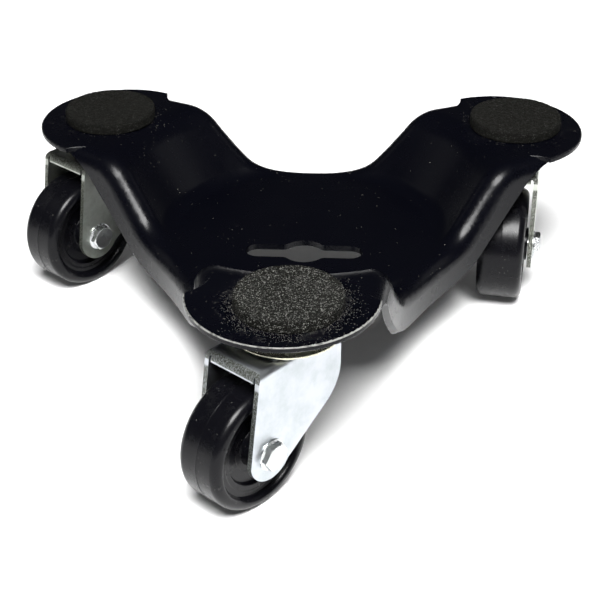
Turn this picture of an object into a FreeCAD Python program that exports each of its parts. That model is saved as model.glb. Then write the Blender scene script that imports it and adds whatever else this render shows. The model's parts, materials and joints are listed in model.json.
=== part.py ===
import FreeCAD, Part
import math
import os
import Sketcher
from FreeCAD import Placement, Rotation, Vector

# Three-arm furniture dolly: a pressed steel plate, three foam grip pads and three swivel casters.
# Millimetres, +Z up. The origin is on the floor, under the centre of the plate, and the front
# arm points along -Y. Each caster is drawn in its own frame: origin on the floor under its
# swivel axis, +X along the trail towards the wheel, +Y along the axle.

DIMENSIONS = {
    # pressed plate
    "sheet": 2.5,
    "disc_top": 44.6,
    "platform_top": 73.2,
    "disc_radius": 54.2,
    "foot_radius": 11.0,
    "ramp_angle": 53.0,
    "crest_radius": 18.0,
    "lobe_radius": 108.0,
    "valley_reach": 206.6,
    "valley_radius": 143.4,
    "flange_fillet": 7.5,
    "flange_bottom": 28.0,
    "flange_rise_start": 60.0,
    "flange_rise_end": 112.0,
    "flange_low_arc": 20.0,
    "flange_high_arc": 20.0,
    "flange_slope": 53.8,
    "platform_centre": 98.8,
    "platform_radius": 36.5,
    "platform_neck": 96.0,
    "neck_half_width": 20.0,
    "shoulder_start": 86.5,
    "shoulder_half_width": 28.0,
    "platform_shoulder": 101.0,
    "rim_round": 0.6,
    # slot in the centre disc
    "slot_forward": 16.9,
    "slot_aside": 0.9,
    "slot_length": 49.5,
    "slot_width": 10.5,
    "slot_hole_radius": 9.3,
    "slot_shoulder_round": 3.0,
    # foam pads
    "pad_radius": 20.5,
    "pad_thickness": 4.8,
    "pad_edge_round": 0.8,
    # caster placing
    "caster_reach": 106.4,
    "trail": 23.0,
    # swivel bearing
    "cup_radius": 18.6,
    "cup_flare": 2.8,
    "cup_sheet": 2.0,
    "cup_wall": 1.2,
    "cup_corner": 1.6,
    "cup_rim_bottom": 62.9,
    "kingpin_radius": 4.0,
    "kingpin_play": 0.05,
    "kingpin_head_radius": 7.0,
    "kingpin_head_depth": 1.6,
    "kingpin_foot_radius": 6.4,
    "kingpin_foot_depth": 1.5,
    "upper_ball_radius": 3.175,
    "upper_ball_circle": 15.2,
    "lower_ball_radius": 1.985,
    "lower_ball_circle": 8.0,
    "ball_play": 0.1,
    "race_radius": 10.9,
    "race_thickness": 1.8,
    "race_lip": 0.7,
    "race_lip_rise": 2.2,
    # fork
    "fork_sheet": 2.0,
    "crown_top": 62.1,
    "fork_width": 27.0,
    "crown_back": 15.0,
    "crown_front": 28.5,
    "crown_bend": 3.0,
    "lip_bottom": 57.6,
    "lip_bend": 4.0,
    "crown_hole_radius": 6.2,
    "leg_end_radius": 10.8,
    "leg_front_reach": 31.2,
    "leg_front_height": 41.0,
    "leg_rear_knee_reach": 7.7,
    "leg_rear_knee_height": 33.3,
    "leg_rear_top": 47.5,
    "leg_rear_arc": 17.5,
    "axle_hole_radius": 3.15,
    # wheel and axle
    "wheel_radius": 25.4,
    "wheel_width": 20.0,
    "wheel_shoulder": 3.6,
    "wheel_lip_inner": 20.4,
    "wheel_lip_drop": 0.9,
    "wheel_face_inset": 2.6,
    "wheel_dish_radius": 14.6,
    "wheel_dish_inset": 4.6,
    "wheel_step": 0.8,
    "hub_radius": 7.4,
    "hub_half_width": 11.1,
    "wheel_bore": 4.56,
    "bush_radius": 4.5,
    "bush_bore": 3.15,
    "bolt_radius": 3.0,
    "hex_width": 10.0,
    "head_height": 2.4,
    "flange_radius": 6.2,
    "flange_height": 0.9,
    "nut_height": 5.0,
    "thread_end": 1.6,
}

# Direction of each arm from the centre, in degrees from +X.
ARMS = {"front": -90.35, "left": 150.0, "right": 30.0}
# The front platform is sheared a little further off the middle line than its caster.
PLATFORM_ANGLES = {"front": -91.4, "left": 150.0, "right": 30.0}
# Direction from each swivel axis to its wheel when the dolly stands at rest.
SWIVEL_ANGLES = {"front": -129.0, "left": -128.2, "right": -97.7}
# The pads are stuck on by hand: reach along the arm, and shift to the arm's left.
PAD_PLACES = {"front": (106.4, 1.0), "left": (106.0, -0.5), "right": (106.8, -0.4)}
VALLEYS = (-30.0, 90.0, 210.0)
UPPER_BALLS = 14
LOWER_BALLS = 12

doc = FreeCAD.newDocument("furniture_dolly")
sheet = doc.addObject("Spreadsheet::Sheet", "Dimensions")
for row, (alias, number) in enumerate(DIMENSIONS.items(), start=1):
    sheet.set(f"A{row}", alias)
    sheet.set(f"B{row}", str(number))
    sheet.setAlias(f"B{row}", alias)
doc.recompute()


def bound(formula):
    """The formula with every dimension's name pointed at the spreadsheet."""
    words = []
    word = ""
    for letter in formula + " ":
        if letter.isalnum() or letter == "_" or letter == ".":
            word += letter
            continue
        words.append(f"Dimensions.{word}" if word in DIMENSIONS else word)
        words.append(letter)
        word = ""
    return "".join(words).strip()


def value(formula):
    """The number that a formula of dimensions gives."""
    result = sheet.evalExpression(bound(formula))
    return float(getattr(result, "Value", result))


def bind(obj, **formulas):
    """Bind properties of an object to formulas of dimensions."""
    for name, formula in formulas.items():
        obj.setExpression(name, bound(formula))


def origin_plane(body, role):
    """One of a body's own origin planes, found by its role."""
    for feature in body.Origin.OriginFeatures:
        if feature.Role == role:
            return feature
    raise RuntimeError(f"no origin plane {role}")


def fix_point(sketch, geometry, end, x_formula, y_formula):
    """Hold one end of a sketch edge at a place given by two formulas."""
    for kind, axis, formula in (("DistanceX", -2, x_formula), ("DistanceY", -1, y_formula)):
        number = value(formula)
        if abs(number) < 1e-9:
            sketch.addConstraint(Sketcher.Constraint("PointOnObject", geometry, end, axis))
            continue
        if number > 0:
            held = Sketcher.Constraint(kind, -1, 1, geometry, end, number)
            rule = formula
        else:
            held = Sketcher.Constraint(kind, geometry, end, -1, 1, -number)
            rule = f"-({formula})"
        index = sketch.addConstraint(held)
        sketch.setExpression(f"Constraints[{index}]", bound(rule))


def outline_sketch(body, name, role, points):
    """A closed outline on an origin plane of the body.

    points is a list of (x, y) or (x, y, radius, side): formulas for a corner, and for the
    edge that leaves it, the radius of an arc that bulges to the right (side 1) or to the
    left (side -1) of the way to the next corner.
    """
    sketch = body.newObject("Sketcher::SketchObject", name)
    sketch.AttachmentSupport = [(origin_plane(body, role), "")]
    sketch.MapMode = "FlatFace"
    corners = [Vector(value(point[0]), value(point[1]), 0) for point in points]
    starts = []
    ends = []
    for index, point in enumerate(points):
        first = corners[index]
        last = corners[(index + 1) % len(points)]
        if len(point) == 2:
            sketch.addGeometry(Part.LineSegment(first, last), False)
            starts.append(1)
            ends.append(2)
            continue
        radius = value(point[2])
        chord = last.sub(first)
        reach = math.sqrt(radius * radius - (chord.Length / 2) ** 2)
        inward = Vector(-chord.y, chord.x, 0).normalize() * (reach * point[3])
        centre = (first + last) * 0.5 + inward
        # A sketch holds every arc anticlockwise, so one that bulges to the left runs backwards.
        begin, finish = (first, last) if point[3] > 0 else (last, first)
        angles = [math.atan2(p.y - centre.y, p.x - centre.x) for p in (begin, finish)]
        if angles[1] < angles[0]:
            angles[1] += 2 * math.pi
        circle = Part.Circle(centre, Vector(0, 0, 1), radius)
        sketch.addGeometry(Part.ArcOfCircle(circle, *angles), False)
        starts.append(1 if point[3] > 0 else 2)
        ends.append(2 if point[3] > 0 else 1)
    for index, point in enumerate(points):
        following = (index + 1) % len(points)
        sketch.addConstraint(
            Sketcher.Constraint("Coincident", index, ends[index], following, starts[following])
        )
        fix_point(sketch, index, starts[index], point[0], point[1])
        if len(point) > 2:
            number = sketch.addConstraint(Sketcher.Constraint("Radius", index, value(point[2])))
            sketch.setExpression(f"Constraints[{number}]", bound(point[2]))
    return sketch


def new_body(name):
    """An empty body whose label is its name."""
    body = doc.addObject("PartDesign::Body", name)
    body.Label = name
    return body


def turned_body(name, role, points):
    """A body turned about the sketch's upright axis from a closed half section."""
    body = new_body(name)
    sketch = outline_sketch(body, f"{name}_section", role, points)
    turned = body.newObject("PartDesign::Revolution", f"{name}_turned")
    turned.Profile = sketch
    turned.ReferenceAxis = (sketch, ["V_Axis"])
    turned.Angle = 360
    return body


def padded_body(name, role, points, length, symmetric=False):
    """A body made by padding a closed outline."""
    body = new_body(name)
    pad = body.newObject("PartDesign::Pad", f"{name}_pad")
    pad.Profile = outline_sketch(body, f"{name}_outline", role, points)
    pad.SideType = "Symmetric" if symmetric else "One side"
    bind(pad, Length=length)
    return body


def cylinder(name, radius, height, base="0", place=(0.0, 0.0), along_y=False):
    """An upright cylinder from base, or one along Y that is centred there at height base."""
    solid = doc.addObject("Part::Cylinder", name)
    bind(solid, Radius=radius, Height=height)
    if along_y:
        solid.Placement = Placement(Vector(place[0], place[1], 0), Rotation(Vector(1, 0, 0), -90))
    else:
        solid.Placement = Placement(Vector(place[0], place[1], 0), Rotation())
    solid.setExpression("Placement.Base.z", bound(base))
    return solid


def cut(name, base, tool):
    """base with tool taken away."""
    result = doc.addObject("Part::Cut", name)
    result.Base = base
    result.Tool = tool
    result.Refine = True
    return result


def fused(name, shapes):
    """Several solids joined."""
    result = doc.addObject("Part::MultiFuse", name)
    result.Shapes = shapes
    result.Refine = True
    return result


def rounded(name, base, radius, chosen):
    """base with the chosen edges rounded. chosen tells from an edge whether it is one."""
    doc.recompute()
    size = value(radius)
    picked = [(number, size, size) for number, edge in enumerate(base.Shape.Edges, 1) if chosen(edge)]
    if not picked:
        raise RuntimeError(f"{name} found no edge to round")
    result = doc.addObject("Part::Fillet", name)
    result.Base = base
    result.Edges = picked
    doc.recompute()
    return result


def polar(radius, angle):
    """A place at a radius and an angle in degrees from +X."""
    return radius * math.cos(math.radians(angle)), radius * math.sin(math.radians(angle))


# ---------------------------------------------------------------- pressed plate

def bowl_section(top_disc, top_platform, foot, crest, outer, low):
    """Half section under the bowl surface: flat disc, S-shaped ramp, flat platform ring."""
    foot_x = f"disc_radius + ({foot}) * sin(ramp_angle)"
    foot_z = f"{top_disc} + ({foot}) * (1 - cos(ramp_angle))"
    crest_z = f"{top_platform} - ({crest}) * (1 - cos(ramp_angle))"
    crest_x = f"{foot_x} + ({crest_z} - ({foot_z})) / tan(ramp_angle)"
    return [
        ("0", low),
        (outer, low),
        (outer, top_platform),
        (f"{crest_x} + ({crest}) * sin(ramp_angle)", top_platform, crest, 1),
        (crest_x, crest_z),
        (foot_x, foot_z, foot, -1),
        ("disc_radius", top_disc),
        ("0", top_disc),
    ]


def pressing(name, section, valley_radius, fillet):
    """A turned bowl with its three valleys cut out and the edge over them rounded."""
    blank = turned_body(f"{name}_blank", "XZ_Plane", section)
    # The seam of the turned shape is laid along an arm, clear of the rounded edges.
    blank.Placement = Placement(Vector(0, 0, 0), Rotation(Vector(0, 0, 1), ARMS["right"]))
    cutters = []
    for number, angle in enumerate(VALLEYS, 1):
        place = polar(value("valley_reach"), angle)
        cutters.append(
            cylinder(f"{name}_valley_{number}", valley_radius, "platform_top * 2", "-20", place)
        )
    lobed = cut(f"{name}_lobed", blank, fused(f"{name}_valleys", cutters))
    wall = value(valley_radius)
    centres = [polar(value("valley_reach"), angle) for angle in VALLEYS]
    lowest = value("disc_top") - value("sheet") - 1

    def over_a_valley(edge):
        points = edge.discretize(7)
        if points[0].z < lowest or points[-1].z < lowest:
            return False
        for x, y in centres:
            if all(abs(math.hypot(p.x - x, p.y - y) - wall) < 1e-3 for p in points):
                return math.hypot(points[0].x - points[-1].x, points[0].y - points[-1].y) > 1e-3
        return False

    return rounded(f"{name}_pressing", lobed, fillet, over_a_valley)


def platform(name, angle):
    """The flat round end of one arm, with its sheared rim just broken.

    A hollow curve on each side leads from the neck's flat top out to the round end's corner.
    """
    corner = "sqrt(platform_radius^2 - (platform_shoulder - platform_centre)^2)"
    ahead = "(platform_shoulder - shoulder_start)"
    aside = f"({corner} - shoulder_half_width)"
    hollow = f"({ahead}^2 + {aside}^2) / (2 * {aside})"
    body = padded_body(
        f"platform_{name}",
        "XY_Plane",
        [
            ("platform_neck", "-neck_half_width"),
            ("shoulder_start", "-shoulder_half_width", hollow, -1),
            ("platform_shoulder", f"-{corner}", "platform_radius", 1),
            ("platform_centre + platform_radius", "0", "platform_radius", 1),
            ("platform_shoulder", corner, hollow, -1),
            ("shoulder_start", "shoulder_half_width"),
            ("platform_neck", "neck_half_width"),
        ],
        "sheet",
    )
    doc.recompute()
    pad = body.Tip
    rim = [
        f"Edge{number}"
        for number, edge in enumerate(pad.Shape.Edges, 1)
        if isinstance(edge.Curve, Part.Circle)
    ]
    broken = body.newObject("PartDesign::Fillet", f"platform_{name}_rim")
    broken.Base = (pad, rim)
    bind(broken, Radius="rim_round")
    body.Placement = Placement(Vector(0, 0, 0), Rotation(Vector(0, 0, 1), angle))
    body.setExpression("Placement.Base.z", bound("platform_top - sheet"))
    return body


def slot_tool():
    """The carrying slot: a long slot with a round hole in its middle and soft shoulders."""
    height = "sheet * 4"
    base = "disc_top - sheet * 2.5"
    forward = -value("slot_forward")
    aside = value("slot_aside")
    end = value("slot_length") / 2 - value("slot_width") / 2
    parts = [cylinder("slot_hole", "slot_hole_radius", height, base, (aside, forward))]
    for side in (-1, 1):
        name = "slot_end_left" if side < 0 else "slot_end_right"
        parts.append(cylinder(name, "slot_width / 2", height, base, (aside + side * end, forward)))
    bar = doc.addObject("Part::Box", "slot_bar")
    bind(bar, Length="slot_length - slot_width", Width="slot_width", Height=height)
    bar.Placement = Placement(Vector(0, 0, 0), Rotation())
    bar.setExpression("Placement.Base.x", bound("slot_aside + (slot_width - slot_length) / 2"))
    bar.setExpression("Placement.Base.y", bound("-slot_forward - slot_width / 2"))
    bar.setExpression("Placement.Base.z", bound(base))
    parts.append(bar)
    whole = fused("slot_form", parts)
    shoulder = math.sqrt(value("slot_hole_radius") ** 2 - (value("slot_width") / 2) ** 2)

    def at_a_shoulder(edge):
        points = edge.discretize(2)
        upright = abs(points[0].x - points[1].x) + abs(points[0].y - points[1].y) < 1e-6
        return upright and abs(abs(points[0].x - aside) - shoulder) < 1e-3

    return rounded("slot_cutter", whole, "slot_shoulder_round", at_a_shoulder)


def kingpin_section(play):
    """Half section of a kingpin: sunk head, shaft and riveted foot, grown by the play."""
    shaft = f"kingpin_radius + {play}"
    head_low = "platform_top - kingpin_head_depth"
    return [
        ("0", "race_bottom - kingpin_foot_depth"),
        ("kingpin_foot_radius", "race_bottom - kingpin_foot_depth"),
        ("kingpin_foot_radius", "race_bottom"),
        (shaft, "race_bottom"),
        (shaft, head_low),
        (f"kingpin_head_radius + {play}", "platform_top"),
        ("0", "platform_top"),
    ]


# Heights of the swivel bearing, from the crown down.
HEIGHTS = {
    "crown_low": "(crown_top - fork_sheet)",
    "race_top": "(crown_top - fork_sheet - 2 * lower_ball_radius - 2 * ball_play)",
    "race_bottom": "(crown_top - fork_sheet - 2 * lower_ball_radius - 2 * ball_play"
    " - race_thickness)",
}


def with_heights(points):
    """Section points with the bearing's heights written out."""
    result = []
    for point in points:
        written = []
        for formula in point:
            if isinstance(formula, str):
                for name, rule in HEIGHTS.items():
                    formula = formula.replace(name, rule)
            written.append(formula)
        result.append(tuple(written))
    return result


def base_plate():
    """The whole pressed plate: shell with flanges, three platforms, slot and pin holes."""
    outer = pressing(
        "outer",
        bowl_section("disc_top", "platform_top", "foot_radius", "crest_radius", "lobe_radius", "10"),
        "valley_radius",
        "flange_fillet",
    )
    inner = pressing(
        "inner",
        bowl_section(
            "disc_top - sheet",
            "platform_top - sheet",
            "foot_radius + sheet",
            "crest_radius - sheet",
            "lobe_radius + 20",
            "5",
        ),
        "valley_radius + sheet",
        "flange_fillet - sheet",
    )
    shell = cut("shell", outer, inner)

    # The flange edge is sheared along a turned surface that climbs towards the platforms.
    underside = "platform_top - sheet"
    low_x = "flange_rise_start + flange_low_arc * sin(flange_slope)"
    low_z = "flange_bottom + flange_low_arc * (1 - cos(flange_slope))"
    high_x = "flange_rise_end - flange_high_arc * sin(flange_slope)"
    high_z = f"{underside} - flange_high_arc * (1 - cos(flange_slope))"
    shear = turned_body(
        "flange_shear",
        "XZ_Plane",
        [
            ("0", "0"),
            ("lobe_radius + 40", "0"),
            ("lobe_radius + 40", underside),
            ("flange_rise_end", underside, "flange_high_arc", 1),
            (high_x, high_z),
            (low_x, low_z, "flange_low_arc", -1),
            ("flange_rise_start", "flange_bottom"),
            ("0", "flange_bottom"),
        ],
    )
    trimmed = cut("trimmed_shell", shell, shear)
    platforms = [platform(name, angle) for name, angle in PLATFORM_ANGLES.items()]
    joined = fused("plate_form", [trimmed] + platforms)
    pins = []
    for name, angle in ARMS.items():
        tool = turned_body(
            f"pin_hole_{name}", "XZ_Plane", with_heights(kingpin_section("kingpin_play"))
        )
        x, y = polar(value("caster_reach"), angle)
        tool.Placement = Placement(Vector(x, y, 0), Rotation())
        pins.append(tool)
    plate = cut("plate", joined, fused("plate_openings", [slot_tool()] + pins))
    plate.Label = "base_plate"
    return plate


# ---------------------------------------------------------------- foam pads

def foam_pad(name):
    """A round foam disc on one platform."""
    disc = turned_body(
        f"foam_pad_{name}",
        "XZ_Plane",
        [
            ("0", "platform_top"),
            ("pad_radius", "platform_top"),
            ("pad_radius", "platform_top + pad_thickness - pad_edge_round", "pad_edge_round", 1),
            ("pad_radius - pad_edge_round", "platform_top + pad_thickness"),
            ("0", "platform_top + pad_thickness"),
        ],
    )
    reach, shift = PAD_PLACES[name]
    x, y = polar(reach, ARMS[name])
    aside = polar(shift, ARMS[name] + 90)
    disc.Placement = Placement(Vector(x + aside[0], y + aside[1], 0), Rotation())
    return disc


# ---------------------------------------------------------------- casters

def raceway_cup(name):
    """The fixed upper cup: flat ceiling under the platform and a flared skirt."""
    top = "platform_top - sheet"
    ceiling = f"{top} - cup_sheet"
    hole = "kingpin_radius + kingpin_play"
    return turned_body(
        f"raceway_cup_{name}",
        "XZ_Plane",
        [
            (hole, ceiling),
            ("cup_radius - cup_wall", ceiling),
            ("cup_radius + cup_flare - cup_wall", "cup_rim_bottom"),
            ("cup_radius + cup_flare", "cup_rim_bottom"),
            ("cup_radius", f"{top} - cup_corner", "cup_corner", 1),
            ("cup_radius - cup_corner", top),
            (hole, top),
        ],
    )


def kingpin(name):
    """The rivet that holds the swivel bearing together and to the plate."""
    return turned_body(f"kingpin_{name}", "XZ_Plane", with_heights(kingpin_section("0")))


def lower_race(name):
    """The dished washer that carries the lower balls on the kingpin's foot."""
    hole = "kingpin_radius + kingpin_play"
    return turned_body(
        f"lower_race_{name}",
        "XZ_Plane",
        with_heights(
            [
                (hole, "race_bottom"),
                ("race_radius", "race_bottom"),
                ("race_radius", "race_top + race_lip_rise"),
                ("race_radius - race_lip", "race_top + race_lip_rise"),
                ("race_radius - race_lip", "race_top"),
                (hole, "race_top"),
            ]
        ),
    )


def ball_row(label, count, ball_radius, circle, height):
    """A full row of loose balls round the swivel axis, as one group of solids."""
    spheres = []
    for number in range(count):
        x, y = polar(value(circle), 360.0 * number / count)
        spheres.append(Part.makeSphere(value(ball_radius), Vector(x, y, value(height))))
    row_of_balls = doc.addObject("Part::Feature", label)
    row_of_balls.Shape = Part.makeCompound(spheres)
    return row_of_balls


def fork(name):
    """The pressed fork: flat crown with a turned-down lip and two tapering legs."""
    end = "leg_end_radius"
    # The front edge and the rear edge leave the round end at these angles from straight down.
    front_angle = 82.0
    rear_angle = 54.5
    front_x = f"trail + {end} * sin({front_angle})"
    front_z = f"wheel_radius - {end} * cos({front_angle})"
    rear_x = f"trail - {end} * sin({rear_angle})"
    rear_z = f"wheel_radius - {end} * cos({rear_angle})"
    lip_back = "crown_front - lip_bend"
    side = padded_body(
        f"fork_{name}_side",
        "XZ_Plane",
        [
            ("-crown_back", "crown_top"),
            ("-crown_back", "leg_rear_top", "leg_rear_arc", 1),
            ("-leg_rear_knee_reach", "leg_rear_knee_height"),
            (rear_x, rear_z, end, 1),
            ("trail", f"wheel_radius - {end}", end, 1),
            (front_x, front_z),
            ("leg_front_reach", "leg_front_height"),
            ("crown_front", "crown_top - lip_bend", "lip_bend", 1),
            (lip_back, "crown_top"),
        ],
        "fork_width",
        symmetric=True,
    )
    half = "fork_width / 2"
    inner_half = "(fork_width / 2 - fork_sheet)"
    ceiling = "crown_top - fork_sheet"
    inner_bend = "(crown_bend - fork_sheet)"
    channel = padded_body(
        f"fork_{name}_channel",
        "YZ_Plane",
        [
            (f"-{half}", "0"),
            (f"-{inner_half}", "0"),
            (f"-{inner_half}", f"{ceiling} - {inner_bend}", inner_bend, -1),
            (f"{inner_bend} - {inner_half}", ceiling),
            (f"{inner_half} - {inner_bend}", ceiling, inner_bend, -1),
            (inner_half, f"{ceiling} - {inner_bend}"),
            (inner_half, "0"),
            (half, "0"),
            (half, "crown_top - crown_bend", "crown_bend", 1),
            (f"{half} - crown_bend", "crown_top"),
            (f"crown_bend - {half}", "crown_top", "crown_bend", 1),
            (f"-{half}", "crown_top - crown_bend"),
        ],
        "(trail + leg_end_radius) * 3",
        symmetric=True,
    )
    folded = doc.addObject("Part::Common", f"fork_{name}_folded")
    folded.Base = side
    folded.Tool = channel
    lip = padded_body(
        f"fork_{name}_lip",
        "XZ_Plane",
        [
            (lip_back, ceiling, "lip_bend - fork_sheet", -1),
            ("crown_front - fork_sheet", "crown_top - lip_bend"),
            ("crown_front - fork_sheet", "lip_bottom"),
            ("crown_front", "lip_bottom"),
            ("crown_front", "crown_top - lip_bend", "lip_bend", 1),
            (lip_back, "crown_top"),
        ],
        "2 * (fork_width / 2 - crown_bend)",
        symmetric=True,
    )
    pin_hole = cylinder(
        f"fork_{name}_pin_hole", "crown_hole_radius", "fork_sheet * 3", "crown_top - 2 * fork_sheet"
    )
    axle_hole = cylinder(
        f"fork_{name}_axle_hole",
        "axle_hole_radius",
        "fork_width + 4",
        "wheel_radius",
        (value("trail"), -value("fork_width") / 2 - 2),
        along_y=True,
    )
    whole = fused(f"fork_{name}_whole", [folded, lip])
    return cut(f"fork_{name}_drilled", whole, fused(f"fork_{name}_holes", [pin_hole, axle_hole]))


def wheel(name):
    """The one-piece moulded wheel, turned about the sketch's upright axis (the axle)."""
    half = "wheel_width / 2"
    side = [
        ("wheel_bore", "hub_half_width"),
        ("hub_radius", "hub_half_width"),
        ("hub_radius + 0.5", f"{half} - wheel_dish_inset"),
        ("wheel_dish_radius", f"{half} - wheel_dish_inset"),
        ("wheel_dish_radius + wheel_step", f"{half} - wheel_face_inset"),
        ("wheel_lip_inner - wheel_step", f"{half} - wheel_face_inset"),
        ("wheel_lip_inner", f"{half} - wheel_lip_drop"),
        ("wheel_lip_inner + wheel_step", half),
        ("wheel_radius - wheel_shoulder", half),
    ]
    near = [(x, y) for x, y in side[:-1]]
    near.append((side[-1][0], side[-1][1], "wheel_shoulder", -1))
    near.append(("wheel_radius", f"{half} - wheel_shoulder"))
    far = [("wheel_radius", f"-({half} - wheel_shoulder)", "wheel_shoulder", -1)]
    far += [(x, f"-({y})") for x, y in reversed(side)]
    return turned_body(f"wheel_{name}", "XY_Plane", near + far)


def axle_bush(name):
    """The steel tube that the legs clamp and the wheel turns on."""
    half = "fork_width / 2 - fork_sheet"
    return turned_body(
        f"axle_bush_{name}",
        "XY_Plane",
        [
            ("bush_bore", f"-({half})"),
            ("bush_radius", f"-({half})"),
            ("bush_radius", half),
            ("bush_bore", half),
        ],
    )


def hexagon(label, height):
    """A hexagonal prism along +Y from the origin, with the nut's width across flats."""
    prism = doc.addObject("Part::Prism", label)
    prism.Polygon = 6
    bind(prism, Circumradius="hex_width / sqrt(3)", Height=height)
    prism.Placement = Placement(Vector(0, 0, 0), Rotation(Vector(1, 0, 0), -90))
    return prism


def chamfer_form(label, height):
    """The turned shape that takes the corners off one end of a hexagon."""
    return turned_body(
        label,
        "XY_Plane",
        [
            ("0", "0"),
            ("hex_width / sqrt(3)", "0"),
            ("hex_width / sqrt(3)", f"{height} - 0.7"),
            ("hex_width / 2 - 0.4", height),
            ("0", height),
        ],
    )


def chamfered_hexagon(label, height):
    """A hexagon with its outer corners turned off, along +Y."""
    common = doc.addObject("Part::Common", label)
    common.Base = hexagon(f"{label}_prism", height)
    common.Tool = chamfer_form(f"{label}_turned", height)
    return common


def flange(label):
    """The round washer face under a bolt head or nut, along +Y."""
    return turned_body(
        label,
        "XY_Plane",
        [
            ("0", "0"),
            ("flange_radius", "0"),
            ("flange_radius", "flange_height * 0.5"),
            ("hex_width / 2", "flange_height"),
            ("0", "flange_height"),
        ],
    )


def axle_bolt(name):
    """The hex-head axle bolt, head on the +Y leg."""
    shank = turned_body(
        f"axle_bolt_{name}_shank",
        "XY_Plane",
        [
            ("0", "-fork_width - nut_height - flange_height - thread_end"),
            ("bolt_radius - 0.5", "-fork_width - nut_height - flange_height - thread_end"),
            ("bolt_radius", "0.5 - fork_width - nut_height - flange_height - thread_end"),
            ("bolt_radius", "0"),
            ("0", "0"),
        ],
    )
    head = chamfered_hexagon(f"axle_bolt_{name}_head", "flange_height + head_height")
    return fused(f"axle_bolt_{name}_form", [shank, head, flange(f"axle_bolt_{name}_flange")])


def axle_nut(name):
    """The lock nut on the -Y leg, with its face along +Y until it is turned round."""
    body = fused(
        f"axle_nut_{name}_form",
        [
            chamfered_hexagon(f"axle_nut_{name}_hex", "flange_height + nut_height"),
            flange(f"axle_nut_{name}_flange"),
        ],
    )
    bore = cylinder(f"axle_nut_{name}_bore", "bolt_radius", "nut_height * 2", "0", (0, -1), True)
    return cut(f"axle_nut_{name}_bored", body, bore)


def place_on_caster(piece, label, name, local):
    """Label a piece and carry it from the caster's own frame to its place on the dolly."""
    x, y = polar(value("caster_reach"), ARMS[name])
    swivel = Placement(Vector(x, y, 0), Rotation(Vector(0, 0, 1), SWIVEL_ANGLES[name]))
    piece.Label = label
    piece.Placement = swivel.multiply(local)


def caster(name):
    """All the pieces of one caster, as label: object."""
    centred = Placement()
    axle = Vector(value("trail"), 0, value("wheel_radius"))
    at_axle = Placement(axle, Rotation())
    outer_face = Vector(0, value("fork_width") / 2, 0)
    at_head = Placement(axle + outer_face, Rotation())
    at_nut = Placement(axle - outer_face, Rotation(Vector(0, 0, 1), 180))
    upper_height = "crown_top + ball_play + upper_ball_radius"
    lower_height = "crown_top - fork_sheet - ball_play - lower_ball_radius"
    upper = ball_row(
        f"upper_balls_{name}", UPPER_BALLS, "upper_ball_radius", "upper_ball_circle", upper_height
    )
    lower = ball_row(
        f"lower_balls_{name}", LOWER_BALLS, "lower_ball_radius", "lower_ball_circle", lower_height
    )
    pieces = {
        "raceway_cup": (raceway_cup(name), centred),
        "kingpin": (kingpin(name), centred),
        "upper_balls": (upper, centred),
        "lower_balls": (lower, centred),
        "lower_race": (lower_race(name), centred),
        "fork": (fork(name), centred),
        "wheel": (wheel(name), at_axle),
        "axle_bush": (axle_bush(name), at_axle),
        "axle_bolt": (axle_bolt(name), at_head),
        "axle_nut": (axle_nut(name), at_nut),
    }
    doc.recompute()
    for kind, (piece, local) in pieces.items():
        place_on_caster(piece, f"{kind}_{name}", name, local)
    return {f"{kind}_{name}": piece for kind, (piece, local) in pieces.items()}


# ---------------------------------------------------------------- assembly and export

nodes = {"base_plate": base_plate()}
for arm in ARMS:
    nodes[f"foam_pad_{arm}"] = foam_pad(arm)
for arm in ARMS:
    nodes.update(caster(arm))
doc.recompute()

for obj in doc.Objects:
    if "Invalid" in obj.State or "Error" in obj.State:
        raise RuntimeError(f"{obj.Label} failed: {obj.State}")

os.makedirs("parts", exist_ok=True)
for label, piece in nodes.items():
    shape = piece.Shape
    if shape.isNull() or not shape.isValid() or shape.Volume <= 0:
        raise RuntimeError(f"{label} is not a valid solid")
for label, piece in nodes.items():
    piece.Shape.exportStep(f"parts/{label}.step")
    box = piece.Shape.BoundBox
    print(
        f"{label}: {len(piece.Shape.Solids)} solid(s), {piece.Shape.Volume:.0f} mm3,",
        f"z {box.ZMin:.2f} to {box.ZMax:.2f}",
    )
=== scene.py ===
import json
import math

import bmesh
import bpy
from mathutils import Matrix, Vector, noise


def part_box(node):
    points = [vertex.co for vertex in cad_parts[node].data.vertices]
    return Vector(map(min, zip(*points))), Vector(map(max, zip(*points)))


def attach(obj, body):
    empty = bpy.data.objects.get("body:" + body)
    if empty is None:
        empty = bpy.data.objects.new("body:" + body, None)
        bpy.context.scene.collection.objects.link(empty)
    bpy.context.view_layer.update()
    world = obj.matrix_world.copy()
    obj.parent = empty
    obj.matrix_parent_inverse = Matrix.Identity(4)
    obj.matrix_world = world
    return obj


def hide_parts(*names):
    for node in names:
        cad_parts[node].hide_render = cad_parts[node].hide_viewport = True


# The looks of a three-arm furniture dolly: satin black pressed plate, foam grip pads and zinc
# plated swivel casters with moulded wheels. Metres, in the CAD frame: +Z up, front arm along -Y.

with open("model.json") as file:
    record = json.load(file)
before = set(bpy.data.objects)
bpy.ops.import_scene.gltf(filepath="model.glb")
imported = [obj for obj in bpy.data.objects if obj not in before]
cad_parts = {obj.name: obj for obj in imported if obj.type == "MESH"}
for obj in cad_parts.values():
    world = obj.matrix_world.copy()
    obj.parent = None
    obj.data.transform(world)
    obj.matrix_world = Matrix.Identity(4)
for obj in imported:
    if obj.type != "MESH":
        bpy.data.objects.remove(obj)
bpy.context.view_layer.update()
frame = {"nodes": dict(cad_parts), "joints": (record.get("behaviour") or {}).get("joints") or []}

MM = 0.001
ARMS = ("front", "left", "right")
JOINTS = {joint["name"]: joint for joint in frame["joints"]}

PAD_RADIUS = 20.5 * MM
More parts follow.
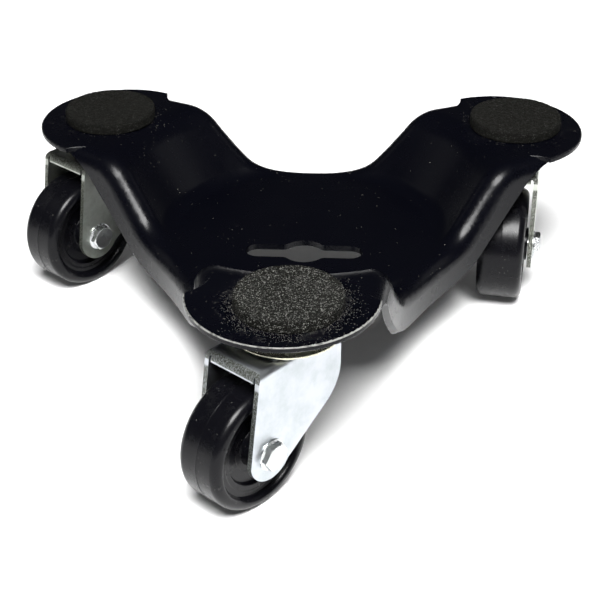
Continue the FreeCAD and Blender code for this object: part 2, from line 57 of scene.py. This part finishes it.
# Foam crumbs lie within this distance of a pad, in cells of which each may hold one.
CRUMB_REACH = 14 * MM
CRUMB_CELLS_PER_METRE = 2300
FOAM_CELLS_PER_METRE = 2800
# Share of the cells next to each pad that hold a crumb.
CRUMBS = {"front": 0.75, "left": 0.06, "right": 0.08}
# Strength of the painted highlight on each platform's rim, which reaches up to this distance from
# the pad's centre.
RIM_HIGHLIGHT = {"front": 1.0, "left": 0.02, "right": 0.02}
RIM_REACH = 46 * MM
# The grey of the bright cells in each pad: the same foam, made lightest on the front pad and darker
# on the rear ones as painted light and shade.
PAD_LIT_SPECKS = {"front": 0.22, "left": 0.036, "right": 0.04}
# Height of the lower edge of a fork's lip.
LIP_FOOT = 57.6 * MM


def pad_centre(arm):
    """The middle of a pad's foot."""
    lowest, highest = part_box(f"foam_pad_{arm}")
    middle = (lowest + highest) / 2
    return Vector((middle.x, middle.y, lowest.z))


def caster_frame(arm):
    """A frame at the wheel's centre: local X up, local Y forward, local Z along the axle."""
    lowest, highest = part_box(f"wheel_{arm}")
    axle = Vector(JOINTS[f"wheel_{arm}_roll"]["axis"])
    up = Vector((0, 0, 1))
    turn = Matrix((up, axle.cross(up), axle)).transposed().to_4x4()
    return Matrix.Translation((lowest + highest) / 2) @ turn


# ---------------------------------------------------------------- material nodes

class Shader:
    """A node material with one Principled shader, and short calls to build the rest."""

    def __init__(self, name, **inputs):
        self.material = bpy.data.materials.new(name)
        self.material.use_nodes = True
        self.tree = self.material.node_tree
        self.surface = self.tree.nodes["Principled BSDF"]
        self.place = self.node("ShaderNodeTexCoord").outputs["Object"]
        for socket, value in inputs.items():
            self.set(socket.replace("_", " "), value)

    def node(self, kind, inputs=None, **settings):
        """A new node. inputs maps a socket's name or number to a value or another socket."""
        made = self.tree.nodes.new(kind)
        for key, value in settings.items():
            setattr(made, key, value)
        for key, value in (inputs or {}).items():
            self.feed(made.inputs[key], value)
        return made

    def feed(self, socket, value):
        """Link or set one socket."""
        if isinstance(value, bpy.types.NodeSocket):
            self.tree.links.new(value, socket)
        else:
            socket.default_value = value

    def set(self, socket, value):
        """Link or set one socket of the Principled shader."""
        self.feed(self.surface.inputs[socket], value)

    def vector(self, operation, first, second, output="Vector"):
        """One sum of two vectors."""
        inputs = {0: first, 1: second}
        return self.node("ShaderNodeVectorMath", inputs, operation=operation).outputs[output]

    def scaled(self, vector, amount):
        """A vector made longer or shorter."""
        inputs = {0: vector, "Scale": amount}
        return self.node("ShaderNodeVectorMath", inputs, operation="SCALE").outputs[0]

    def along(self, axis, across, lengthwise):
        """Object coordinates scaled by one amount along an axis and by another across it."""
        run = self.scaled(axis, self.dot(self.place, axis))
        rest = self.vector("SUBTRACT", self.place, run)
        return self.vector("ADD", self.scaled(rest, across), self.scaled(run, lengthwise))

    def dot(self, vector, direction):
        """How far a vector goes along a direction."""
        return self.vector("DOT_PRODUCT", vector, tuple(direction), output="Value")

    def split(self, colour):
        """The three channels of a colour."""
        return self.node("ShaderNodeSeparateColor", {0: colour}).outputs

    def split_place(self):
        """The three object coordinates."""
        return self.node("ShaderNodeSeparateXYZ", {0: self.place}).outputs

    def flat_distance(self, centre):
        """Distance from a point, seen from above."""
        x, y, _ = self.split_place()
        flat = self.node("ShaderNodeCombineXYZ", {0: x, 1: y}).outputs[0]
        return self.vector("DISTANCE", flat, (centre[0], centre[1], 0), output="Value")

    def noise(self, scale, detail=3.0, roughness=0.5, place=None):
        """Smooth noise, with scale in features per metre."""
        inputs = {"Vector": place or self.place, "Scale": scale}
        inputs.update({"Detail": detail, "Roughness": roughness})
        return self.node("ShaderNodeTexNoise", inputs).outputs["Fac"]

    def cells(self, scale, output="Distance"):
        """Distance to, or random colour of, scattered points, with scale in points per metre."""
        inputs = {"Vector": self.place, "Scale": scale}
        return self.node("ShaderNodeTexVoronoi", inputs).outputs[output]

    def ramp(self, value, low, high, start=0.0, end=1.0, smooth=True):
        """value from low to high turned into start to end, clamped."""
        kind = "SMOOTHSTEP" if smooth else "LINEAR"
        inputs = {0: value, 1: low, 2: high, 3: start, 4: end}
        return self.node("ShaderNodeMapRange", inputs, interpolation_type=kind).outputs[0]

    def math(self, operation, first, second=0.0):
        """One sum of two values."""
        inputs = {0: first, 1: second}
        return self.node("ShaderNodeMath", inputs, operation=operation).outputs[0]

    def mix(self, factor, first, second):
        """A colour between first and second."""
        mixed = self.node("ShaderNodeMix", data_type="RGBA")
        self.feed(mixed.inputs[0], factor)
        self.feed(mixed.inputs[6], first)
        self.feed(mixed.inputs[7], second)
        return mixed.outputs[2]

    def bump(self, height, depth, below=None):
        """A bump of the given depth in metres, over the bump before it."""
        inputs = {"Height": height, "Distance": depth}
        if below is not None:
            inputs["Normal"] = below
        return self.node("ShaderNodeBump", inputs).outputs[0]


def grey(level):
    """A neutral colour."""
    return (level, level, level, 1)


def rim_highlight(s):
    """A painted highlight: a light line in the base colour on the rounded rims of the platforms,
    strongest on the front one, standing in for the glint of the key light.
    """
    top = pad_centre("front").z
    facing = s.node("ShaderNodeTexCoord").outputs["Normal"]
    lean = s.ramp(s.dot(facing, (0, 0, 1)), 0.80, 0.88, 1.0, 0.0)
    high = s.ramp(s.split_place()[2], top - 0.65 * MM, top - 0.5 * MM)
    patchy = s.ramp(s.noise(500, detail=4.0), 0.3, 0.55, 0.35, 1.0)
    # The band on the rim fillet where the painted highlight goes.
    highlight_band = s.math("MULTIPLY", s.math("MULTIPLY", high, lean), patchy)
    highlight = 0.0
    for arm in ARMS:
        gap = s.flat_distance(pad_centre(arm))
        platform = s.ramp(gap, RIM_REACH, RIM_REACH + 4 * MM, RIM_HIGHLIGHT[arm], 0.0)
        highlight = s.math("ADD", highlight, s.math("MULTIPLY", highlight_band, platform))
    return s.math("MINIMUM", highlight, 1.0)


def crumb_mask(s, draws):
    """A few specks of dust all over, and crumbs of foam on the platforms by the pads."""
    likely = s.math("ADD", s.ramp(s.noise(30, detail=4.0), 0.5, 0.8, 0.0, 0.02), 0.002)
    for arm in ARMS:
        gap = s.flat_distance(pad_centre(arm))
        near = s.ramp(gap, PAD_RADIUS, PAD_RADIUS + CRUMB_REACH, 1.0, 0.0, smooth=False)
        dense = s.math("POWER", near, 3.5)
        likely = s.math("ADD", likely, s.math("MULTIPLY", dense, CRUMBS[arm]))
    dropped = s.math("LESS_THAN", draws[0], likely)
    size = s.ramp(draws[1], 0.0, 1.0, 0.25, 0.5)
    return s.math("MULTIPLY", s.math("LESS_THAN", s.cells(CRUMB_CELLS_PER_METRE), size), dropped)


def plate_paint():
    """Satin black enamel with orange peel, dust, foam crumbs and a painted highlight along the
    platform rims.
    """
    s = Shader("plate_paint", IOR=1.23)
    draws = s.split(s.cells(CRUMB_CELLS_PER_METRE, "Color"))
    dust = crumb_mask(s, draws)
    crumb = s.mix(draws[2], grey(0.01), (0.16, 0.155, 0.135, 1))
    enamel = s.mix(s.noise(18), (0.0007, 0.0008, 0.0020, 1), (0.0014, 0.0015, 0.0026, 1))
    # The light grey on the rims is a painted highlight.
    painted = s.mix(rim_highlight(s), enamel, (0.19, 0.19, 0.18, 1))
    s.set("Base Color", s.mix(dust, painted, crumb))
    smear = s.ramp(s.noise(45, detail=5.0, roughness=0.7), 0.35, 0.8, 0.25, 0.32)
    s.set("Roughness", s.math("ADD", smear, s.math("MULTIPLY", dust, 0.5)))
    waves = s.bump(s.noise(260, detail=1.0), 0.010 * MM)
    grains = s.bump(s.noise(1500, detail=1.0), 0.0015 * MM, below=waves)
    s.set("Normal", s.bump(dust, 0.08 * MM, below=grains))
    return s.material


def zinc(name, tint, patina, roughness):
    """Bright zinc plate over steel: cloudy patches and fine grain."""
    s = Shader(name, Metallic=1.0)
    clouds = s.noise(70, detail=5.0, roughness=0.65)
    grain = s.noise(2600, detail=2.0)
    s.set("Base Color", s.mix(s.ramp(clouds, 0.35, 0.7), tint, patina))
    s.set("Roughness", s.ramp(clouds, 0.3, 0.75, roughness - 0.06, roughness + 0.1))
    pits = s.bump(s.ramp(grain, 0.4, 0.7), 0.008 * MM)
    s.set("Normal", s.bump(clouds, 0.03 * MM, below=pits))
    return s.material


def fork_zinc(arm):
    """Zinc plated sheet with cloudy patches and drag lines, and torn grey metal on its cut edges."""
    s = Shader(f"fork_zinc_{arm}", Metallic=1.0)
    lead, axle = caster_frame(arm).col[1].xyz, caster_frame(arm).col[2].xyz
    clouds = s.noise(90, detail=5.0, roughness=0.65)
    drag = s.noise(1.0, place=s.along(axle, 2200, 90))
    # The cut edges face forward or back, or down where they are on the legs.
    facing = s.node("ShaderNodeTexCoord").outputs["Normal"]
    ahead = s.ramp(s.math("ABSOLUTE", s.dot(facing, lead)), 0.35, 0.6)
    height = s.split_place()[2]
    down = s.ramp(s.dot(facing, (0, 0, -1)), 0.3, 0.6)
    edge = s.math("MAXIMUM", ahead, s.math("MULTIPLY", down, s.ramp(height, 50 * MM, 45 * MM)))
    tear = s.noise(1600, detail=5.0, roughness=0.7)
    # The lowest half millimetre of the lip is a bright burr.
    above = s.ramp(height, LIP_FOOT - 2.6 * MM, LIP_FOOT - 1.6 * MM)
    burr = s.math("MULTIPLY", s.ramp(height, LIP_FOOT + 0.9 * MM, LIP_FOOT + 0.5 * MM), above)
    bare = s.math("MULTIPLY", s.ramp(tear, 0.35, 0.6, 0.45, 1.0), s.math("SUBTRACT", 1.0, burr))
    torn = s.math("MULTIPLY", edge, bare)
    # Each arm's tint and patina are painted light and shade: the left fork darkest, the right one
    # lightest.
    plated = s.mix(s.ramp(clouds, 0.35, 0.7), FORK_LIT_TINTS[arm], FORK_LIT_PATINAS[arm])
    s.set("Base Color", s.mix(torn, plated, (0.07, 0.074, 0.060, 1)))
    cloudy = s.ramp(clouds, 0.3, 0.75, 0.26, 0.42)
    smooth = s.math("ADD", cloudy, s.math("MULTIPLY", drag, 0.08))
    s.set("Roughness", s.math("ADD", smooth, s.math("MULTIPLY", torn, 0.3)))
    lines = s.bump(drag, 0.006 * MM)
    waves = s.bump(clouds, 0.03 * MM, below=lines)
    s.set("Normal", s.bump(s.math("MULTIPLY", edge, tear), 0.12 * MM, below=waves))
    return s.material


def turned_steel(name, level, roughness):
    """Plain or polished steel with fine turning marks."""
    s = Shader(name, Metallic=1.0)
    marks = s.noise(2400, detail=3.0)
    s.set("Base Color", s.mix(marks, grey(level), grey(level * 0.85)))
    s.set("Roughness", s.ramp(marks, 0.2, 0.8, roughness * 0.7, roughness * 1.3))
    s.set("Normal", s.bump(marks, 0.004 * MM))
    return s.material


def wheel_plastic():
    """Satin black moulded plastic: soft mould texture, a lightly scuffed tread, dust and nicks."""
    s = Shader("wheel_plastic", IOR=1.25)
    across = s.math("ABSOLUTE", s.split_place()[2])
    band = s.ramp(across, 4.0 * MM, 8.0 * MM, 1.0, 0.3)
    scuffs = s.math("MULTIPLY", s.ramp(s.noise(160, detail=6.0, roughness=0.75), 0.5, 0.75), band)
    specks_per_metre = 1500
    chance = s.split(s.cells(specks_per_metre, "Color"))[0]
    speck = s.ramp(s.cells(specks_per_metre), 0.15, 0.3, 1.0, 0.0)
    dust = s.math("MULTIPLY", speck, s.math("LESS_THAN", chance, 0.02))
    tone = s.mix(s.noise(60, detail=4.0), (0.0012, 0.0012, 0.0022, 1), (0.0026, 0.0026, 0.0034, 1))
    worn = s.mix(s.math("MULTIPLY", scuffs, 0.3), tone, grey(0.012))
    s.set("Base Color", s.mix(dust, worn, (0.1, 0.1, 0.09, 1)))
    s.set("Roughness", s.ramp(scuffs, 0.0, 1.0, 0.27, 0.36))
    texture = s.bump(s.noise(1900, detail=3.0), 0.006 * MM)
    nicks = s.bump(s.ramp(s.noise(330, detail=1.0), 0.72, 0.78), 0.08 * MM, below=texture)
    s.set("Normal", s.bump(scuffs, 0.01 * MM, below=nicks))
    return s.material


def pad_foam(arm):
    """Charcoal closed-cell foam: cut cells that catch the light, and mottled colour."""
    s = Shader(f"pad_foam_{arm}", IOR=1.2)
    draw = s.split(s.cells(FOAM_CELLS_PER_METRE, "Color"))[1]
    mottle = s.noise(420, detail=5.0, roughness=0.75)
    walls = s.ramp(s.cells(FOAM_CELLS_PER_METRE), 0.2, 0.6)
    base = s.mix(mottle, (0.0010, 0.0010, 0.0007, 1), (0.0040, 0.0040, 0.0028, 1))
    bright = s.math("MULTIPLY", s.math("POWER", draw, 10.0), s.ramp(walls, 0.0, 1.0, 0.6, 1.0))
    # The per-pad grey of the bright cells is painted light and shade.
    specks = PAD_LIT_SPECKS[arm]
    s.set("Base Color", s.mix(bright, base, (specks, specks, specks * 0.92, 1)))
    s.set("Roughness", s.ramp(mottle, 0.3, 0.7, 0.7, 0.95))
    pits = s.bump(walls, 0.12 * MM)
    s.set("Normal", s.bump(mottle, 0.2 * MM, below=pits))
    return s.material


def floor_paper():
    """Pale studio paper with a glow seen only by the camera: a faint painted glow near the object
    that lifts its shadows, rising to the white of a lit sweep away from it.
    """
    s = Shader("floor_paper", Roughness=0.85)
    fibres = s.noise(400, detail=4.0)
    s.set("Base Color", s.mix(fibres, grey(0.86), grey(0.9)))
    s.set("Normal", s.bump(fibres, 0.02 * MM))
    seen = s.node("ShaderNodeLightPath").outputs["Is Camera Ray"]
    near, far = 0.45, 1.1
    # Painted light: the camera sees the floor glow, faintly near the object over its shadows and
    # fully far from it.
    sweep = s.ramp(s.flat_distance((0, 0)), near, far, 0.035, 0.9)
    s.set("Emission Color", grey(1.0))
    s.set("Emission Strength", s.math("MULTIPLY", sweep, seen))
    return s.material


BRIGHT_ZINC = (0.60, 0.61, 0.63, 1)
DULLER_ZINC = (0.52, 0.54, 0.53, 1)
CUP_TINT = (0.60, 0.58, 0.46, 1)
CUP_PATINA = (0.45, 0.45, 0.34, 1)
# The forks are the same zinc, given painted light and shade: the left one darkest and the right one
# lightest.
FORK_LIT_TINTS = {
    "front": (0.45, 0.47, 0.50, 1),
    "left": (0.40, 0.42, 0.39, 1),
    "right": (0.66, 0.68, 0.64, 1),
}
FORK_LIT_PATINAS = {
    "front": (0.385, 0.415, 0.43, 1),
    "left": (0.28, 0.30, 0.26, 1),
    "right": (0.5, 0.53, 0.47, 1),
}
MATERIALS = {
    "base_plate": plate_paint(),
    "raceway_cup": zinc("bearing_zinc", CUP_TINT, CUP_PATINA, 0.26),
    "axle_bolt": zinc("fastener_zinc", BRIGHT_ZINC, DULLER_ZINC, 0.24),
    "upper_balls": turned_steel("ball_steel", 0.8, 0.06),
    "axle_bush": turned_steel("bush_steel", 0.6, 0.3),
    "wheel": wheel_plastic(),
}
MATERIALS.update({f"fork_{arm}": fork_zinc(arm) for arm in ARMS})
MATERIALS.update({f"foam_pad_{arm}": pad_foam(arm) for arm in ARMS})
SAME_AS = {
    "kingpin": "raceway_cup",
    "lower_race": "raceway_cup",
    "lower_balls": "upper_balls",
    "axle_nut": "axle_bolt",
}


def kind_of(node):
    """A node's name without its arm, except for forks and pads, which have a material each."""
    if node.startswith(("fork_", "foam_pad_")):
        return node
    for arm in ARMS:
        node = node.removesuffix(f"_{arm}")
    return node


def dress(piece, kind):
    """Give a piece the one material of its kind."""
    piece.data.materials.clear()
    piece.data.materials.append(MATERIALS[SAME_AS.get(kind, kind)])


# ---------------------------------------------------------------- edges of the CAD nodes

# Millimetres left on the edges of each kind of CAD node by pressing, tumbling and paint.
EDGE_RADIUS = {
    "base_plate": 0.5,
    "kingpin": 0.2,
    "lower_race": 0.2,
    "axle_bolt": 0.22,
    "axle_nut": 0.22,
}
EDGE_RADIUS.update({f"fork_{arm}": 0.3 for arm in ARMS})


def round_edges(piece, radius):
    """Small rounded edges, on flats that are joined up first."""
    weld = piece.modifiers.new("weld", "WELD")
    weld.merge_threshold = 0.001 * MM
    flats = piece.modifiers.new("flats", "DECIMATE")
    flats.decimate_type = "DISSOLVE"
    flats.angle_limit = math.radians(0.6)
    edges = piece.modifiers.new("edges", "BEVEL")
    edges.width = radius * MM
    edges.segments = 3
    edges.limit_method = "ANGLE"
    edges.angle_limit = math.radians(40)
    edges.miter_outer = "MITER_ARC"
    piece.modifiers.new("normals", "WEIGHTED_NORMAL")


for name, node in frame["nodes"].items():
    kind = kind_of(name)
    dress(node, kind)
    if kind in EDGE_RADIUS:
        round_edges(node, EDGE_RADIUS[kind])


# ---------------------------------------------------------------- turned pieces

def softened(corners, radius, steps=3):
    """A polyline with each corner turned into a short curve, no longer than half its sides."""
    line = [Vector(corners[0])]
    for before, corner, after in zip(corners, corners[1:], corners[2:]):
        before, corner, after = Vector(before), Vector(corner), Vector(after)
        start = corner.lerp(before, min(0.5, radius / (before - corner).length))
        end = corner.lerp(after, min(0.5, radius / (after - corner).length))
        for step in range(steps + 1):
            along = step / steps
            line.append(start.lerp(corner, along).lerp(corner.lerp(end, along), along))
    line.append(Vector(corners[-1]))
    return line


def arc(centre, radii, start, end, steps):
    """Points on an elliptical arc in a profile, with angles in degrees from straight outwards."""
    turns = [math.radians(start + (end - start) * step / steps) for step in range(steps + 1)]
    return [
        (centre[0] + radii[0] * math.cos(turn), centre[1] + radii[1] * math.sin(turn))
        for turn in turns
    ]


def lathe(profile, sectors, closed):
    """A closed loop of (radius, along) points in millimetres, or a line with its ends capped,
    turned about the local Z axis.
    """
    shape = bmesh.new()
    rings = []
    for radius, along in profile:
        turns = [math.tau * step / sectors for step in range(sectors)]
        rings.append([
            shape.verts.new((radius * MM * math.cos(t), radius * MM * math.sin(t), along * MM))
            for t in turns
        ])
    pairs = list(zip(rings, rings[1:]))
    if closed:
        pairs.append((rings[-1], rings[0]))
    else:
        shape.faces.new(rings[0])
        shape.faces.new(reversed(rings[-1]))
    for first, second in pairs:
        for step in range(sectors):
            after = (step + 1) % sectors
            shape.faces.new((first[after], first[step], second[step], second[after]))
    return shape


def finished(name, shape, place, body, kind, stands_for=None):
    """Turn a bmesh into a smooth piece that rides on a body."""
    bmesh.ops.recalc_face_normals(shape, faces=shape.faces)
    mesh = bpy.data.meshes.new(name)
    shape.to_mesh(mesh)
    shape.free()
    mesh.shade_smooth()
    piece = bpy.data.objects.new(name, mesh)
    bpy.context.scene.collection.objects.link(piece)
    piece.matrix_world = place
    piece.modifiers.new("normals", "WEIGHTED_NORMAL")
    dress(piece, kind)
    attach(piece, body)
    if stands_for:
        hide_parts(stands_for)
    return piece


# ---------------------------------------------------------------- wheels

# Millimetres.
MOULD_LINE_RADIUS = 25.4
TREAD_RADIUS = 25.24
RIM_HALF_WIDTH = 10.0
HUB_HALF_WIDTH = 11.1


def wheel_profile():
    """Half section of a wheel: mould line, tread, rolled shoulder, stepped dish, hub and bore."""
    face, hub_end = RIM_HALF_WIDTH, HUB_HALF_WIDTH
    middle = [(MOULD_LINE_RADIUS, 0.0), (MOULD_LINE_RADIUS, 0.10), (TREAD_RADIUS, 0.24)]
    shoulder = arc((21.8, 6.4), (TREAD_RADIUS - 21.8, 3.6), 0, 90, 12)
    tread = softened([(TREAD_RADIUS, 3.0)] + shoulder[1:], 0.1, 1)
    rim = [(21.2, face), (20.4, 9.1), (19.6, 7.4), (17.6, 7.4), (17.5, 7.2), (15.4, 7.2)]
    dish = [(14.6, 5.4), (10.4, 5.4), (10.3, 5.2), (7.9, 5.2)]
    hub = [(7.4, hub_end), (5.0, hub_end), (4.56, hub_end - 0.4)]
    half = middle + tread + softened(rim + dish + hub, 0.45)
    other = [(radius, -along) for radius, along in reversed(half[1:])]
    return [tuple(point) for point in half] + other


for arm in ARMS:
    finished(
        f"moulded_wheel_{arm}",
        lathe(wheel_profile(), sectors=128, closed=True),
        place=caster_frame(arm),
        body=f"wheel_{arm}",
        kind="wheel",
        stands_for=f"wheel_{arm}",
    )


# ---------------------------------------------------------------- bearing cups

# Millimetres.
CUP_BORE_RADIUS = 8.0
CUP_SHEET = 1.8
CUP_BEAD_RADIUS = 0.75


def cup_profile(height, radius):
    """Section of the upper cup: flat ceiling, flared skirt and a bead rolled round its rim."""
    top = [(CUP_BORE_RADIUS, height), (16.2, height)]
    flare = [(17.9, height - 1.0), (18.6, height - 2.2), (radius - 1.1, 2.3)]
    bead = arc(
        (radius - CUP_BEAD_RADIUS, CUP_BEAD_RADIUS), (CUP_BEAD_RADIUS, CUP_BEAD_RADIUS), 75, -200, 14
    )
    ceiling = height - CUP_SHEET
    inside = [(radius - 2.4, 2.6), (16.4, ceiling), (CUP_BORE_RADIUS, ceiling)]
    return softened(top + flare, 0.5) + bead + softened(inside, 0.5)


for arm in ARMS:
    lowest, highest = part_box(f"raceway_cup_{arm}")
    middle = (lowest + highest) / 2
    section = cup_profile((highest.z - lowest.z) / MM, (highest.x - middle.x) / MM)
    finished(
        f"flared_cup_{arm}",
        lathe(section, sectors=128, closed=True),
        place=Matrix.Translation((middle.x, middle.y, lowest.z)),
        body="dolly",
        kind="raceway_cup",
        stands_for=f"raceway_cup_{arm}",
    )


# ---------------------------------------------------------------- foam pads

# Millimetres: the round of a pad's top edge, the gap between points on its top, and how near the
# side or the top a point must be to be roughened.
PAD_EDGE = 0.6
PAD_STEP = 0.45
PAD_SKIN = 0.7


def foam_shape(arm, height):
    """A disc of foam with a pitted top, a rough cut side and a slightly crushed top edge."""
    radius = PAD_RADIUS / MM
    rings = int((radius - PAD_EDGE) / PAD_STEP)
    top = [(radius * 0.02 + (radius - 0.62) * step / rings, height) for step in range(rings + 1)]
    edge = arc((radius - PAD_EDGE, height - PAD_EDGE), (PAD_EDGE, PAD_EDGE), 75, 0, 4)
    side = [(radius, (height - PAD_EDGE) * (1 - step / 8)) for step in range(1, 9)]
    shape = lathe(top + edge + side, sectors=220, closed=False)
    seed = Vector((ARMS.index(arm) * 7.3, 1.7, 0.4))
    # Noise in features per millimetre, and depths in millimetres.
    for vertex in shape.verts:
        place = vertex.co / MM
        pit = max(0.0, noise.noise(place * 1.1 + seed) - 0.05)
        grain = noise.noise(place * 2.6 + seed) + 1
        sunk = (0.28 * pit + 0.05 * grain) * MM
        swell = 0.12 * (noise.noise(place * 0.12 + seed) + 1) * MM
        out = Vector((vertex.co.x, vertex.co.y, 0))
        if out.length > (radius - PAD_SKIN) * MM:
            vertex.co -= out.normalized() * (sunk + swell)
        if place.z > height - PAD_SKIN:
            vertex.co.z -= sunk + swell * 0.4
    return shape


for arm in ARMS:
    lowest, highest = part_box(f"foam_pad_{arm}")
    pad = finished(
        f"grip_pad_{arm}",
        foam_shape(arm, (highest.z - lowest.z) / MM),
        place=Matrix.Translation(pad_centre(arm)),
        body="dolly",
        kind=f"foam_pad_{arm}",
        stands_for=f"foam_pad_{arm}",
    )


# ---------------------------------------------------------------- thread ends

# Millimetres.
THREAD_PITCH = 1.0
THREAD_LENGTH = 1.5
THREAD_ROOT = 2.75
THREAD_CREST = 3.1
# How far a thread end lies behind the end of its bolt.
THREAD_INSET = 0.05


def thread_shape():
    """A helical thread crest, clipped flat at both ends, running along local +Z."""
    root, crest = THREAD_ROOT, THREAD_CREST
    profile = [(root - 0.05, -THREAD_PITCH)]
    for turn in range(-1, 4):
        foot = turn * THREAD_PITCH
        profile += [(root, foot), (crest, foot + 0.4), (crest, foot + 0.55), (root, foot + 0.95)]
    shape = lathe(profile, sectors=72, closed=False)
    for vertex in shape.verts:
        rise = math.atan2(vertex.co.y, vertex.co.x) / math.tau * THREAD_PITCH * MM
        vertex.co.z = min(max(vertex.co.z + rise, 0), THREAD_LENGTH * MM)
    bmesh.ops.dissolve_degenerate(shape, dist=0.001 * MM, edges=shape.edges)
    return shape


def bolt_end(arm):
    """Where the bolt's thread ends, along the axle from the wheel's centre."""
    place = caster_frame(arm)
    bolt = frame["nodes"][f"axle_bolt_{arm}"].data
    return min((vertex.co - place.translation).dot(place.col[2].xyz) for vertex in bolt.vertices)


for arm in ARMS:
    finished(
        f"thread_end_{arm}",
        thread_shape(),
        place=caster_frame(arm) @ Matrix.Translation((0, 0, THREAD_INSET * MM + bolt_end(arm))),
        body=f"swivel_{arm}",
        kind="axle_bolt",
    )


# ---------------------------------------------------------------- stage, lights, camera

# Strength of the surround at the horizon and above it, the height at which it is down to the
# lower one (1 is straight up), and the strength of the backdrop that the camera sees.
SURROUND_LOW = 0.16
SURROUND_HIGH = 0.02
SURROUND_FADE = 0.3
BACKDROP = 0.95

CAMERA_PLACE = (30.4 * MM, -544.0 * MM, 342.6 * MM)
CAMERA_LENS = 85.76
SENSOR_WIDTH = 36.0
# Degrees below the horizon, to the left of +Y, and clockwise about the view.
CAMERA_DOWN = 31.4
CAMERA_LEFT = 3.4
CAMERA_CLOCKWISE = 0.3


def floor():
    """A wide pale floor under the wheels."""
    mesh = bpy.data.meshes.new("studio_floor")
    shape = bmesh.new()
    bmesh.ops.create_grid(shape, x_segments=8, y_segments=8, size=4.0)
    shape.to_mesh(mesh)
    shape.free()
    made = bpy.data.objects.new("studio_floor", mesh)
    bpy.context.scene.collection.objects.link(made)
    mesh.materials.append(floor_paper())


def soft_box(name, place, aim, size, watts):
    """A rectangular area light at a place, facing a point."""
    data = bpy.data.lights.new(name, "AREA")
    data.shape = "RECTANGLE"
    data.size, data.size_y = size
    data.energy = watts
    made = bpy.data.objects.new(name, data)
    bpy.context.scene.collection.objects.link(made)
    made.location = place
    made.rotation_euler = (Vector(aim) - Vector(place)).to_track_quat("-Z", "Y").to_euler()


def studio_world():
    """A pale backdrop for the camera, over a dim surround that keeps the gloss dark."""
    world = bpy.data.worlds.new("studio_world")
    bpy.context.scene.world = world
    world.use_nodes = True
    tree = world.node_tree
    place = tree.nodes.new("ShaderNodeTexCoord")
    split = tree.nodes.new("ShaderNodeSeparateXYZ")
    fade = tree.nodes.new("ShaderNodeMapRange")
    fade.interpolation_type = "SMOOTHSTEP"
    for socket, value in zip(fade.inputs[1:5], (0.0, SURROUND_FADE, SURROUND_LOW, SURROUND_HIGH)):
        socket.default_value = value
    path = tree.nodes.new("ShaderNodeLightPath")
    seen = tree.nodes.new("ShaderNodeMix")
    seen.inputs[3].default_value = BACKDROP
    tree.links.new(place.outputs["Generated"], split.inputs[0])
    tree.links.new(split.outputs[2], fade.inputs[0])
    tree.links.new(path.outputs["Is Camera Ray"], seen.inputs[0])
    tree.links.new(fade.outputs[0], seen.inputs[2])
    tree.links.new(seen.outputs[0], tree.nodes["Background"].inputs[1])
    tree.nodes["Background"].inputs[0].default_value = (0.97, 0.98, 1.0, 1)


def camera():
    """The camera, a long lens looking down on the front arm."""
    data = bpy.data.cameras.new("camera")
    data.lens = CAMERA_LENS
    data.sensor_width = SENSOR_WIDTH
    data.clip_start = 10 * MM
    made = bpy.data.objects.new("camera", data)
    bpy.context.scene.collection.objects.link(made)
    turned = Matrix.Rotation(math.radians(CAMERA_LEFT), 4, "Z")
    tilted = Matrix.Rotation(math.pi / 2 - math.radians(CAMERA_DOWN), 4, "X")
    rolled = Matrix.Rotation(-math.radians(CAMERA_CLOCKWISE), 4, "Z")
    made.matrix_world = Matrix.Translation(CAMERA_PLACE) @ turned @ tilted @ rolled
    bpy.context.scene.camera = made


floor()
studio_world()
soft_box("key", place=(0.08, -0.75, 1.2), aim=(0, 0.05, 0), size=(0.66, 0.56), watts=54)
soft_box("side_left", place=(-1.1, 0.35, 0.62), aim=(0, 0, 0.03), size=(0.5, 0.6), watts=0.35)
soft_box("side_right", place=(1.1, 0.35, 0.62), aim=(0, 0, 0.03), size=(0.5, 0.6), watts=0.6)
camera()
bpy.context.scene.view_settings.view_transform = "Standard"
